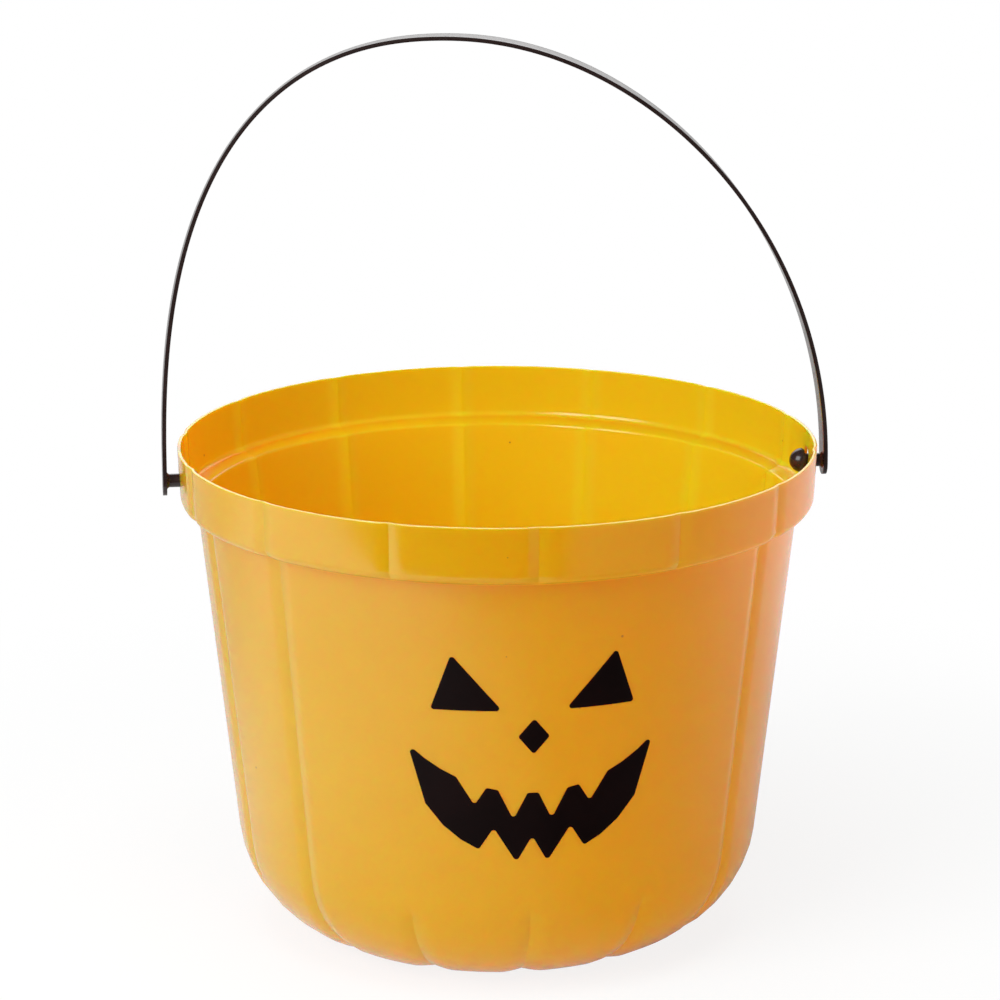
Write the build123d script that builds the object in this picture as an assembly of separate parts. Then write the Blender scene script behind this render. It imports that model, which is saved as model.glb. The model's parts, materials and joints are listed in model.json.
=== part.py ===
from build123d import *

import math
import os

# A pumpkin candy pail: a thin moulded pail, a strap handle on two snap studs, and a printed face.
# Millimetres and degrees. The pail stands on Z = 0, its axis is Z, the face looks along -Y,
# and the handle turns about an axis along X.

# Pail as a whole
pail_height = 149.0
rim_radius = 95.0
wall = 1.0

# Rim band, and the step under it
band_height = 16.0
band_draft = 3.5
band_edge_round = 1.6
shoulder_step = 4.4
ledge_round = 1.5

# Body and base
body_draft = 6.2
corner_round = 35.0
stand_ring_width = 4.5
base_recess_depth = 1.3
base_recess_slope = 45.0

# Creases between the lobes
crease_count = 14
crease_depth = 1.0
body_crease_width = 5.0
band_crease_width = 4.0

# Smooth panel at the front, which hides the creases nearest to the middle
panel_base_height = 28.0
panel_reach = 40.0

# Handle holes in the band
pivot_drop = 9.0
hole_radius = 3.2
stud_clearance = 0.1

# Handle strap
strap_thickness = 1.2
strap_width = 7.5
strap_standoff = 3.9
strap_rise = 130.2
strap_sway = 17.5
strap_sway_power = 1.75
strap_squareness = 2.13
strap_stations = 24
tab_reach = 0.65

# Snap studs
stud_radius = 2.0
head_radius = 3.75
head_length = 4.3
head_gap = 0.6

# Printed face, placed down from the step under the band
print_thickness = 0.15
print_clearance = 0.01
print_corner_round = 0.8
eye_width = 20.0
eye_height = 17.0
eye_lean = 4.5
eye_spacing = 38.0
eye_drop = 40.0
nose_width = 9.0
nose_height = 11.0
nose_drop = 48.0
mouth_width = 70.0
mouth_corner_drop = 51.5
mouth_top_sag = 14.0
mouth_bottom_sag = 35.0
tooth_count = 4
tooth_pitch = 11.0
tooth_width = 8.2
top_tooth_share = 0.42
bottom_tooth_share = 0.36

# How far a cutting or filling form runs past what it cuts
overrun = 6.0

# Heights and radii that follow from the sizes above
shoulder_height = pail_height - band_height
pivot_height = pail_height - pivot_drop
hole_height = pivot_height + hole_radius - stud_radius - stud_clearance
crease_pitch = 360.0 / crease_count


def band_radius(height: float, inset: float = 0.0) -> float:
    """Radius of the band's skin at a height, moved in by an inset."""
    shift = inset / math.cos(math.radians(band_draft))
    return rim_radius - shift - (pail_height - height) * math.tan(math.radians(band_draft))


def body_radius(height: float, inset: float = 0.0) -> float:
    """Radius of the body's skin at a height, moved in by an inset."""
    top = band_radius(shoulder_height) - shoulder_step
    shift = inset / math.cos(math.radians(body_draft))
    return top - shift - (shoulder_height - height) * math.tan(math.radians(body_draft))


# The corner's arc touches the base this far in from where the wall would meet it
corner_tangent = corner_round / math.tan(math.radians(90 + body_draft) / 2)
base_radius = body_radius(0) - corner_tangent
recess_radius = base_radius - stand_ring_width

strap_face = band_radius(pivot_height) + strap_standoff
strap_half_span = strap_face + strap_thickness / 2
head_back = band_radius(pivot_height, wall) - head_gap


def pail_form(inset: float, top: float) -> Part:
    """Solid of the pail's form without creases, its skin moved in by an inset and its rim at a top."""
    slope_shift = inset * math.tan(math.radians(base_recess_slope) / 2)
    slope_run = base_recess_depth / math.tan(math.radians(base_recess_slope))
    ledge = shoulder_height + inset
    corners = [
        (0, base_recess_depth + inset),
        (recess_radius - slope_run + slope_shift, base_recess_depth + inset),
        (recess_radius + slope_shift, inset),
        (body_radius(inset, inset), inset),
        (body_radius(ledge, inset), ledge),
        (band_radius(ledge, inset), ledge),
        (band_radius(top, inset), top),
        (0, top),
    ]
    inner_edge = ledge_round if inset > 0 else 0
    rounds = [0, 0, corner_round - inset, inner_edge, max(band_edge_round - inset, 0), 0]
    outline = FilletPolyline(*corners, radius=rounds) + Line(corners[-1], corners[0])
    return revolve(Plane.XZ * make_face(outline), Axis.Z)


def crease_radius(width: float) -> float:
    """Radius of the round tool whose cut has this width at the crease's depth."""
    return (width**2 / 4 + crease_depth**2) / (2 * crease_depth)


def body_crease(grow: float, top: float) -> Part:
    """Round rod down the front of the body that cuts a crease, thickened by grow and cut off at a top."""
    tool = crease_radius(body_crease_width)
    stand_off = tool - crease_depth
    start = shoulder_height + overrun
    path = FilletPolyline(
        (body_radius(start, -stand_off), start),
        (body_radius(-stand_off, -stand_off), -stand_off),
        (recess_radius - grow, -stand_off),
        radius=corner_round + stand_off,
    )
    section = Plane(path @ 0, z_dir=path % 0) * Circle(tool + grow)
    rod = sweep(section, path)
    front = Rot(0, 0, -90) * Rot(90, 0, 0) * rod
    return split(front, Plane.XY.offset(top), keep=Keep.BOTTOM)


def band_crease(grow: float) -> Part:
    """Round rod along the front of the band that cuts a crease, made thicker by grow."""
    tool = crease_radius(band_crease_width)
    stand_off = tool - crease_depth
    low = shoulder_height - overrun
    high = pail_height + 2 * overrun
    path = Line((band_radius(low, -stand_off), low), (band_radius(high, -stand_off), high))
    section = Plane(path @ 0, z_dir=path % 0) * Circle(tool + grow)
    return Rot(0, 0, -90) * Rot(90, 0, 0) * sweep(section, path)


def creases(grow: float) -> list[Part]:
    """Every crease of the pail, those behind the face panel ending at the panel's lower edge."""
    full = body_crease(grow, shoulder_height + grow)
    short = body_crease(grow, panel_base_height + grow)
    band = band_crease(grow)
    rods = []
    for step in range(crease_count):
        turn = step * crease_pitch
        from_front = min(turn, 360 - turn)
        rods.append(Rot(0, 0, turn) * (short if from_front < panel_reach else full))
        rods.append(Rot(0, 0, turn) * band)
    return rods


def make_pail() -> Part:
    """Pail with an even wall: the creased form less a creased cavity, and the two handle holes."""
    outside = pail_form(0, pail_height) - creases(0)
    cavity = pail_form(wall, pail_height + overrun) - creases(wall)
    drill = Pos(0, 0, hole_height) * Rot(0, 90, 0) * Cylinder(hole_radius, 2 * (rim_radius + overrun))
    return outside - cavity - drill


def strap_centre(share: float) -> tuple[float, float]:
    """Point of the strap's centre line, from the right stud at share 0 to the left one at share 1."""
    turn = math.pi * share
    along = math.copysign(abs(math.cos(turn)) ** (2 / strap_squareness), math.cos(turn))
    rise = max(math.sin(turn), 0) ** (2 / strap_squareness)
    return strap_half_span * along - strap_sway * rise**strap_sway_power, strap_rise * rise


def make_stud() -> Part:
    """Snap stud at the right end of the strap: a shank and a rounded head, about the handle's axis."""
    tip = head_back - head_length
    outline = Polyline(
        (tip, 0), (strap_half_span, 0), (strap_half_span, stud_radius), (head_back, stud_radius),
        (head_back, head_radius),
    )
    nose = EllipticalCenterArc((head_back, 0), head_length, head_radius, start_angle=90, arc_size=90)
    return Pos(0, 0, pivot_height) * revolve(make_face(outline + nose), Axis.X)


def make_tab() -> Part:
    """Rounded end of the strap below the right stud."""
    end = Pos(0, 0, -tab_reach) * Rot(0, 90, 0) * Cylinder(strap_width / 2, strap_thickness)
    neck = Pos(0, 0, -tab_reach / 2) * Box(strap_thickness, strap_width, tab_reach)
    return Pos(strap_half_span, 0, pivot_height) * (end + neck)


def make_handle() -> Part:
    """Handle in one piece: the arched strap, its rounded ends and the two studs."""
    points = [strap_centre(step / strap_stations) for step in range(strap_stations + 1)]
    upright = [(0, 1), (0, -1)]
    centre = Spline(*points, tangents=upright)
    faces = []
    for side in (-1, 1):
        shift = side * strap_thickness / 2
        line = []
        for step in range(strap_stations + 1):
            share = step / strap_stations
            along = centre % share
            line.append(centre @ share + shift * Vector(along.Y, -along.X))
        faces.append(Spline(*line, tangents=upright))
    inner, outer = faces
    outline = inner + Line(inner @ 1, outer @ 1) + outer + Line(outer @ 0, inner @ 0)
    arch = extrude(Plane.XZ * make_face(outline), strap_width / 2, both=True)
    handle = Pos(0, 0, pivot_height) * arch
    for piece in (make_tab(), make_stud()):
        handle = handle + piece + mirror(piece, Plane.YZ)
    return handle


def mouth_height(sag: float, x: float) -> float:
    """Height, at a place across the mouth, of a line that hangs by its sag between the mouth's corners."""
    return shoulder_height - mouth_corner_drop - sag * (1 - (2 * x / mouth_width) ** 2)


def teeth(count: int, sag: float, tip_sag: float) -> list[Sketch]:
    """Pointed teeth in a row across the mouth, from an edge with one sag to tips with another."""
    wedges = []
    for step in range(count):
        x = (step - (count - 1) / 2) * tooth_pitch
        tip = mouth_height(tip_sag, x)
        root = 2 * mouth_height(sag, x) - tip
        outline = Polyline((x, tip), (x - tooth_width, root), (x + tooth_width, root), close=True)
        wedges.append(make_face(outline))
    return wedges


def make_mouth() -> Sketch:
    """Crescent grin with pointed teeth that stand between each other."""
    left = (-mouth_width / 2, mouth_height(0, mouth_width / 2))
    right = (mouth_width / 2, mouth_height(0, mouth_width / 2))
    top_lip = ThreePointArc(left, (0, mouth_height(mouth_top_sag, 0)), right)
    bottom_lip = ThreePointArc(left, (0, mouth_height(mouth_bottom_sag, 0)), right)
    opening = mouth_bottom_sag - mouth_top_sag
    top_tip = mouth_top_sag + top_tooth_share * opening
    bottom_tip = mouth_bottom_sag - bottom_tooth_share * opening
    grin = make_face(top_lip + bottom_lip)
    grin -= teeth(tooth_count, mouth_top_sag, top_tip)
    return grin - teeth(tooth_count - 1, mouth_bottom_sag, bottom_tip)


def make_ink_skin() -> Part:
    """Thin skin of ink all over the pail's form, from which the patches are trimmed."""
    inner = pail_form(-print_clearance, pail_height)
    return pail_form(-print_clearance - print_thickness, pail_height) - inner


def make_print(skin: Part, sketch: Sketch) -> Part:
    """Ink patch on the panel: the ink skin trimmed to a sketch seen from the front."""
    patch = fillet(sketch.vertices(), print_corner_round)
    column = extrude(Plane.XZ * patch, rim_radius + overrun)
    return skin & column


def make_eye(side: int) -> Sketch:
    """Three-cornered eye on one side of the face, its tip leaning outwards."""
    middle = side * eye_spacing / 2
    low = shoulder_height - eye_drop
    inner = (middle - side * eye_width / 2, low)
    outer = (middle + side * eye_width / 2, low)
    tip = (middle + side * eye_lean, low + eye_height)
    return make_face(Polyline(inner, outer, tip, close=True))


def make_nose() -> Sketch:
    """Diamond nose."""
    middle = shoulder_height - nose_drop
    left, right = (-nose_width / 2, middle), (nose_width / 2, middle)
    foot, top = (0, middle - nose_height / 2), (0, middle + nose_height / 2)
    return make_face(Polyline(left, foot, right, top, close=True))


ink_skin = make_ink_skin()
parts = {
    "pail_body": make_pail(),
    "handle": make_handle(),
    "left_eye_print": make_print(ink_skin, make_eye(-1)),
    "right_eye_print": make_print(ink_skin, make_eye(1)),
    "nose_print": make_print(ink_skin, make_nose()),
    "mouth_print": make_print(ink_skin, make_mouth()),
}

os.makedirs("parts", exist_ok=True)
for name, part in parts.items():
    export_step(part, f"parts/{name}.step")
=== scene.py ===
import json
import logging
import math
from dataclasses import dataclass
from enum import Enum

import bpy
import numpy as np
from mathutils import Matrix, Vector
from mathutils.geometry import delaunay_2d_cdt


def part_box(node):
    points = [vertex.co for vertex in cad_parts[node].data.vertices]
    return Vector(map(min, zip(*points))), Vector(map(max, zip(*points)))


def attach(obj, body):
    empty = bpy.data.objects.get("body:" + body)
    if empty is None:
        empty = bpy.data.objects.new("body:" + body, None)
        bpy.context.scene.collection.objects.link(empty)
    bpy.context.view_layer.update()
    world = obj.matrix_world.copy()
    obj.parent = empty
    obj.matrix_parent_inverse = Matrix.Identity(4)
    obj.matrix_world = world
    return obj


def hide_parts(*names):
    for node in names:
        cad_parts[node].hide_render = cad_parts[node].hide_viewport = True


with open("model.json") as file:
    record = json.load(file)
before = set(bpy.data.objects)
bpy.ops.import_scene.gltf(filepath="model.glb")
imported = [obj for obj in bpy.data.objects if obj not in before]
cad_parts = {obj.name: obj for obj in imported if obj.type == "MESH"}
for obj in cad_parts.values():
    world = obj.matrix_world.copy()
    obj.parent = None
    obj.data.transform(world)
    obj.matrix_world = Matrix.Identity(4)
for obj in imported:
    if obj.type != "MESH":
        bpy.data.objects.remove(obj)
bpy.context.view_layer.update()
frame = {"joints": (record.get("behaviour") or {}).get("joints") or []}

# Looks of a pumpkin candy pail: the moulded pail, its strap handle and its printed face.
# Metres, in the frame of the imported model: +Z up, the face looks along -Y, the handle turns about X.

MM = 0.001
IMAGE_SIDE = 1000
SENSOR_WIDTH = 36.0
INSIDE = "inside"
# Vertex attribute of painted light inside the pail: painted highlight beside the creases, painted shade
# along the ledge.
PAINTED_LIGHT = "thinness"
MERGE_GAP = 0.002 * MM
SHARP_EDGE = 40.0
QUARTER_TURN = math.pi / 2
ROUNDING_LIMIT = 0.49
ROW_BATCH = 4096
log = logging.getLogger("candy_pail")

Point = tuple[float, float]
Span = tuple[float, float]
Colour = tuple[float, float, float]
Socket = bpy.types.NodeSocket

WHITE: Colour = (1.0, 1.0, 1.0)
RISING: Span = (0.0, 1.0)
FALLING: Span = (1.0, 0.0)


class Side(Enum):
    """Left and right as seen from the front, by the sign of X."""

    LEFT = -1
    RIGHT = 1


class Body(Enum):
    """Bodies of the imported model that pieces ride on."""

    PAIL = "pail"
    HANDLE = "handle"


def deselect_all() -> None:
    """Leaves edit mode and deselects every object."""
    if bpy.context.object and bpy.context.object.mode != "OBJECT":
        bpy.ops.object.mode_set(mode="OBJECT")
    bpy.ops.object.select_all(action="DESELECT")


def make_active(piece: bpy.types.Object) -> None:
    """Selects one object alone and makes it active.

    Args:
        piece: The object to select.
    """
    deselect_all()
    piece.select_set(True)
    bpy.context.view_layer.objects.active = piece


def read_points(piece: bpy.types.Object) -> np.ndarray:
    """Reads the vertices of a mesh.

    Args:
        piece: The object that holds the mesh.

    Returns:
        One row of coordinates for each vertex.
    """
    flat = np.empty(len(piece.data.vertices) * 3, np.float32)
    piece.data.vertices.foreach_get("co", flat)
    return flat.reshape(-1, 3).astype(float)


def write_points(piece: bpy.types.Object, points: np.ndarray) -> None:
    """Puts changed vertices back into the mesh."""
    piece.data.vertices.foreach_set("co", points.astype(np.float32).ravel())
    piece.data.update()


def write_attribute(piece: bpy.types.Object, name: str, values: np.ndarray) -> None:
    """Stores one value for each vertex of a piece under a name."""
    attribute = piece.data.attributes.new(name, "FLOAT", "POINT")
    attribute.data.foreach_set("value", values.astype(np.float32))


def apply_modifier(piece: bpy.types.Object, kind: str, **settings: object) -> None:
    """Adds a modifier to a piece and applies it.

    Args:
        piece: The object to change.
        kind: The modifier's type.
        settings: Values for the modifier's properties.
    """
    make_active(piece)
    bpy.ops.object.modifier_add(type=kind)
    modifier = piece.modifiers[-1]
    for name, value in settings.items():
        setattr(modifier, name, value)
    bpy.ops.object.modifier_apply(modifier=modifier.name)


def combine(piece: bpy.types.Object, tool: bpy.types.Object, operation: str) -> None:
    """Joins a tool to a piece, or cuts it away, as solids, and removes the tool.

    Args:
        piece: The object that stays.
        tool: The object that is used up.
        operation: UNION or DIFFERENCE.
    """
    apply_modifier(piece, "BOOLEAN", object=tool, operation=operation, solver="MANIFOLD")
    bpy.data.objects.remove(tool)


def smooth_faces(piece: bpy.types.Object, sharp_degrees: float) -> None:
    """Smooths a piece's shading, apart from edges sharper than an angle."""
    make_active(piece)
    bpy.ops.object.shade_smooth_by_angle(angle=math.radians(sharp_degrees))


def extruded_chain(name: str, points: list[Vector]) -> bpy.types.Object:
    """Draws an open line in edit mode: one vertex, extruded from point to point.

    Args:
        name: The new object's name.
        points: The line's points.

    Returns:
        The object, left in edit mode with the whole line selected.
    """
    deselect_all()
    bpy.ops.mesh.primitive_plane_add(size=MM)
    line = bpy.context.object
    line.name = name
    bpy.ops.object.mode_set(mode="EDIT")
    bpy.ops.mesh.select_all(action="SELECT")
    bpy.ops.mesh.merge(type="CENTER")
    bpy.ops.transform.translate(value=points[0])
    for here, there in zip(points, points[1:]):
        bpy.ops.mesh.extrude_vertices_move(TRANSFORM_OT_translate={"value": there - here})
    bpy.ops.mesh.select_all(action="SELECT")
    return line


def tidy_surface(piece: bpy.types.Object, gap: float = MERGE_GAP) -> None:
    """Merges doubled vertices and turns every face outwards.

    Args:
        piece: The object to mend.
        gap: How near vertices are that count as doubled.
    """
    make_active(piece)
    bpy.ops.object.mode_set(mode="EDIT")
    bpy.ops.mesh.select_all(action="SELECT")
    bpy.ops.mesh.remove_doubles(threshold=gap)
    bpy.ops.mesh.normals_make_consistent(inside=False)
    bpy.ops.object.mode_set(mode="OBJECT")


def spun(name: str, points: list[Vector], axis: Vector, centre: Vector, steps: int) -> bpy.types.Object:
    """Turns a line all the way round an axis, closed and facing outwards.

    Args:
        name: The new object's name.
        points: The line, with its ends on the axis.
        axis: The axis's direction.
        centre: A point on the axis.
        steps: How many steps the turn has.

    Returns:
        The turned object, in object mode.
    """
    piece = extruded_chain(name, points)
    bpy.ops.mesh.spin(steps=steps, angle=math.tau, center=centre, axis=axis, use_auto_merge=True)
    tidy_surface(piece)
    return piece


def rounded_line(
    corners: list[Point], radii: list[float], arc_steps: int, closed: bool = False
) -> list[Point]:
    """Rounds the corners of a line with arcs.

    Args:
        corners: The line's corner points.
        radii: One radius for each corner, zero for a sharp one.
        arc_steps: How many steps a rounding has for each right angle that it turns.
        closed: Whether the line closes on itself.

    Returns:
        The line's points with each rounded corner as an arc.
    """
    line: list[Point] = []
    count = len(corners)
    for index, (corner, radius) in enumerate(zip(corners, radii)):
        here = Vector(corner)
        if radius <= 0 or (not closed and index in (0, count - 1)):
            line.append(corner)
            continue
        back = Vector(corners[index - 1]) - here
        ahead = Vector(corners[(index + 1) % count]) - here
        turn = math.pi - back.angle(ahead)
        reach = radius * math.tan(turn / 2)
        if closed:
            reach = min(reach, ROUNDING_LIMIT * back.length, ROUNDING_LIMIT * ahead.length)
        radius = reach / math.tan(turn / 2)
        inward = (back.normalized() + ahead.normalized()).normalized()
        middle = here + inward * radius / math.cos(turn / 2)
        start = here + back.normalized() * reach - middle
        end = here + ahead.normalized() * reach - middle
        steps = max(2, math.ceil(arc_steps * turn / QUARTER_TURN))
        for step in range(steps + 1):
            share = step / steps
            first = math.sin((1 - share) * turn)
            last = math.sin(share * turn)
            spoke = (start * first + end * last) / math.sin(turn)
            line.append(tuple(middle + spoke))
    return line


def divided(line: list[Point], longest: float) -> list[Point]:
    """Adds points along the long runs of a line.

    Args:
        line: The line's points.
        longest: The longest run that is left.

    Returns:
        The line with the added points.
    """
    points = [line[0]]
    for here, there in zip(line, line[1:]):
        steps = max(1, math.ceil(math.dist(here, there) / longest))
        for step in range(1, steps + 1):
            share = step / steps
            across = here[0] + (there[0] - here[0]) * share
            up = here[1] + (there[1] - here[1]) * share
            points.append((across, up))
    return points


def nearest_rows(points: np.ndarray, rows: list[Point]) -> np.ndarray:
    """Finds each vertex's row of a section that was turned about Z.

    Args:
        points: The vertices.
        rows: Radius and height of each row.

    Returns:
        The number of each vertex's row.
    """
    table = np.array(rows)
    radius = np.hypot(points[:, 0], points[:, 1])
    nearest = np.empty(len(points), int)
    for start in range(0, len(points), ROW_BATCH):
        part = slice(start, start + ROW_BATCH)
        gap = (radius[part, None] - table[:, 0]) ** 2 + (points[part, 2, None] - table[:, 1]) ** 2
        nearest[part] = gap.argmin(axis=1)
    return nearest


def opaque(colour: Colour) -> tuple[float, float, float, float]:
    """A colour with full cover, as sockets take it."""
    return (*colour, 1.0)


class NodeSheet:
    """Short hand for filling a node tree."""

    def __init__(self, tree: bpy.types.NodeTree) -> None:
        """Starts on an emptied tree."""
        self.tree = tree
        tree.nodes.clear()

    def add(
        self, kind: str, inputs: dict[str | int, object] | None = None, **settings: object
    ) -> bpy.types.Node:
        """Adds a node, sets its properties and fills its inputs.

        Args:
            kind: The node's type.
            inputs: Values or output sockets by input name or number.
            settings: Values for the node's properties.

        Returns:
            The new node.
        """
        node = self.tree.nodes.new(kind)
        for name, value in settings.items():
            setattr(node, name, value)
        for name, value in (inputs or {}).items():
            if isinstance(value, Socket):
                self.tree.links.new(value, node.inputs[name])
            else:
                node.inputs[name].default_value = value
        return node

    def math(self, operation: str, first: object, second: object) -> Socket:
        """A Math node's result for two values or sockets."""
        return self.add("ShaderNodeMath", {0: first, 1: second}, operation=operation).outputs[0]

    def blend(self, factor: object, first: object, second: object) -> Socket:
        """A colour between two colours, by a factor."""
        node = self.add("ShaderNodeMix", {0: factor, 6: first, 7: second}, data_type="RGBA")
        return node.outputs[2]

    def mix(self, factor: object, first: object, second: object) -> Socket:
        """A number between two numbers, by a factor."""
        return self.add("ShaderNodeMix", {0: factor, 2: first, 3: second}).outputs[0]

    def along(self, place: Socket, way: tuple[float, float, float]) -> Socket:
        """How far a place lies along a direction."""
        node = self.add("ShaderNodeVectorMath", {0: place, 1: way}, operation="DOT_PRODUCT")
        return node.outputs["Value"]

    def ramp(self, value: object, span: Span, ends: Span = RISING) -> Socket:
        """Carries a value over smoothly from one range to another.

        Args:
            value: The value or socket.
            span: The range that it comes from.
            ends: What the two ends of that range become.

        Returns:
            The carried value.
        """
        sockets = {
            "Value": value,
            "From Min": span[0],
            "From Max": span[1],
            "To Min": ends[0],
            "To Max": ends[1],
        }
        return self.add("ShaderNodeMapRange", sockets, interpolation_type="SMOOTHSTEP").outputs[0]


class SurfaceEffects:
    """Shader groups that the finishes share."""

    MOULDING = "moulded_surface"
    SPECKS = "surface_specks"
    CLOUD_DETAIL = 3.0
    GRAIN_DETAIL = 4.0
    GRAIN_FINENESS = 9.0
    GRAIN_HEIGHT_SHARE = 0.12
    NOISE_SPAN: Span = (0.3, 0.7)

    def build(self) -> None:
        """Makes each shared group once."""
        self._moulding()
        self._specks()

    @staticmethod
    def _group(
        name: str, inputs: dict[str, str], outputs: dict[str, str]
    ) -> tuple[NodeSheet, bpy.types.Node, bpy.types.Node]:
        """Makes an empty shader group with its sockets.

        Args:
            name: The group's name.
            inputs: Socket types by input name.
            outputs: Socket types by output name.

        Returns:
            The group's sheet, its input node and its output node.
        """
        tree = bpy.data.node_groups.new(name, "ShaderNodeTree")
        for direction, sockets in (("INPUT", inputs), ("OUTPUT", outputs)):
            for socket, kind in sockets.items():
                tree.interface.new_socket(socket, in_out=direction, socket_type=kind)
        sheet = NodeSheet(tree)
        return sheet, sheet.add("NodeGroupInput"), sheet.add("NodeGroupOutput")

    def _moulding(self) -> None:
        """Cloudy colour, uneven gloss and a faint ripple, as flowing plastic leaves them."""
        number, colour, vector = "NodeSocketFloat", "NodeSocketColor", "NodeSocketVector"
        inputs = {"Place": vector, "Colour": colour, "Cloud": colour, "Cloud Size": number,
                  "Smoothest": number, "Roughest": number}
        outputs = {"Colour": colour, "Roughness": number, "Height": number}
        sheet, given, made = self._group(self.MOULDING, inputs, outputs)
        place = given.outputs["Place"]
        coarse = sheet.math("DIVIDE", 1.0, given.outputs["Cloud Size"])
        fine = sheet.math("MULTIPLY", coarse, self.GRAIN_FINENESS)
        cloud, grain = (
            sheet.add("ShaderNodeTexNoise", {"Vector": place, "Scale": scale, "Detail": detail})
            for scale, detail in ((coarse, self.CLOUD_DETAIL), (fine, self.GRAIN_DETAIL))
        )
        finer = sheet.math("MULTIPLY", grain.outputs[0], self.GRAIN_HEIGHT_SHARE)
        ripple = sheet.math("ADD", cloud.outputs[0], finer)
        tone = sheet.ramp(cloud.outputs[0], self.NOISE_SPAN)
        mixed = sheet.blend(tone, given.outputs["Colour"], given.outputs["Cloud"])
        uneven = sheet.ramp(grain.outputs[0], self.NOISE_SPAN)
        span = sheet.math("SUBTRACT", given.outputs["Roughest"], given.outputs["Smoothest"])
        gloss = sheet.math("ADD", given.outputs["Smoothest"], sheet.math("MULTIPLY", uneven, span))
        sheet.tree.links.new(mixed, made.inputs["Colour"])
        sheet.tree.links.new(gloss, made.inputs["Roughness"])
        sheet.tree.links.new(ripple, made.inputs["Height"])

    def _specks(self) -> None:
        """Sparse small specks, such as dust and marks in the plastic."""
        number, vector = "NodeSocketFloat", "NodeSocketVector"
        inputs = {"Place": vector, "Spacing": number, "Speck Share": number, "Kept Share": number}
        sheet, given, made = self._group(self.SPECKS, inputs, {"Mask": number})
        scale = sheet.math("DIVIDE", 1.0, given.outputs["Spacing"])
        cells = sheet.add("ShaderNodeTexVoronoi", {"Vector": given.outputs["Place"], "Scale": scale})
        near = sheet.math("LESS_THAN", cells.outputs["Distance"], given.outputs["Speck Share"])
        draw = sheet.add("ShaderNodeSeparateColor", {0: cells.outputs["Color"]}).outputs[0]
        kept = sheet.math("LESS_THAN", draw, given.outputs["Kept Share"])
        sheet.tree.links.new(sheet.math("MULTIPLY", near, kept), made.inputs["Mask"])


@dataclass(frozen=True)
class MouldedFinish:
    """A glossy plastic or ink, with the marks that moulding and handling leave, and for the pail painted
    light and shade on its inner skin.
    """

    name: str
    slot: str
    colour: Colour
    cloud: Colour
    speck: Colour
    cloud_size: float
    smoothest: float
    roughest: float
    ripple: float
    speck_spacing: float
    speck_share: float
    speck_kept: float
    translucence: float = 0.0
    glow_depth: Colour = (1.0, 0.2, 0.05)
    glow_scale: float = 0.0
    refraction: float = 1.5
    # The inside colour is a yellower lit copy of the plastic: painted light that stands in for light
    # passing through the wall and bouncing inside the pail.
    inside: Colour | None = None
    # The next two colours are painted light: a painted highlight on the flanks beside the inner ridges
    # and painted shade on the inner ledge.
    flank_highlight: Colour | None = None
    ledge_shade: Colour | None = None

    def material(self) -> bpy.types.Material:
        """Makes the finish as a material.

        Returns:
            The new material.
        """
        material = bpy.data.materials.new(self.name)
        material.use_nodes = True
        sheet = NodeSheet(material.node_tree)
        place = sheet.add("ShaderNodeTexCoord").outputs["Object"]
        moulding = sheet.add("ShaderNodeGroup", node_tree=bpy.data.node_groups[SurfaceEffects.MOULDING])
        specks = sheet.add("ShaderNodeGroup", node_tree=bpy.data.node_groups[SurfaceEffects.SPECKS])
        values = {
            "Colour": opaque(self.colour),
            "Cloud": opaque(self.cloud),
            "Cloud Size": self.cloud_size,
            "Smoothest": self.smoothest,
            "Roughest": self.roughest,
        }
        marks = {
            "Spacing": self.speck_spacing,
            "Speck Share": self.speck_share,
            "Kept Share": self.speck_kept,
        }
        for group, settings in ((moulding, values), (specks, marks)):
            sheet.tree.links.new(place, group.inputs["Place"])
            for socket, value in settings.items():
                group.inputs[socket].default_value = value
        plain = moulding.outputs["Colour"]
        # Inside the pail the colour is painted light: a yellower lit copy of the plastic, with a painted
        # highlight and painted shade on top.
        if self.inside:
            inner = sheet.add("ShaderNodeAttribute", attribute_name=INSIDE).outputs["Fac"]
            # Painted light: lighter colour beside the inner ridges as a painted highlight, darker colour
            # on the ledge as painted shade.
            thinness = sheet.add("ShaderNodeAttribute", attribute_name=PAINTED_LIGHT).outputs["Fac"]
            painted_highlight_share = sheet.math("MAXIMUM", thinness, 0.0)
            painted_shade_share = sheet.math("MULTIPLY", thinness, -1.0)
            painted_inner_colour = sheet.blend(painted_highlight_share, opaque(self.inside), opaque(self.flank_highlight))
            painted_inner_colour = sheet.blend(painted_shade_share, painted_inner_colour, opaque(self.ledge_shade))
            plain = sheet.blend(inner, plain, painted_inner_colour)
        coloured = sheet.blend(specks.outputs["Mask"], plain, opaque(self.speck))
        relief = {"Height": moulding.outputs["Height"], "Distance": self.ripple}
        bump = sheet.add("ShaderNodeBump", relief)
        shader = sheet.add("ShaderNodeBsdfPrincipled", {
            "Base Color": coloured,
            "Roughness": moulding.outputs["Roughness"],
            "Normal": bump.outputs["Normal"],
            "IOR": self.refraction,
            "Subsurface Weight": self.translucence,
            "Subsurface Radius": self.glow_depth,
            "Subsurface Scale": self.glow_scale,
        })
        sheet.add("ShaderNodeOutputMaterial", {"Surface": shader.outputs[0]})
        return material

    def dress(self, piece: bpy.types.Object) -> None:
        """Gives a piece this finish.

        Args:
            piece: The piece to dress.
        """
        made = bpy.data.materials.get(self.name) or self.material()
        piece.data.materials.clear()
        piece.data.materials.append(made)


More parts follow.
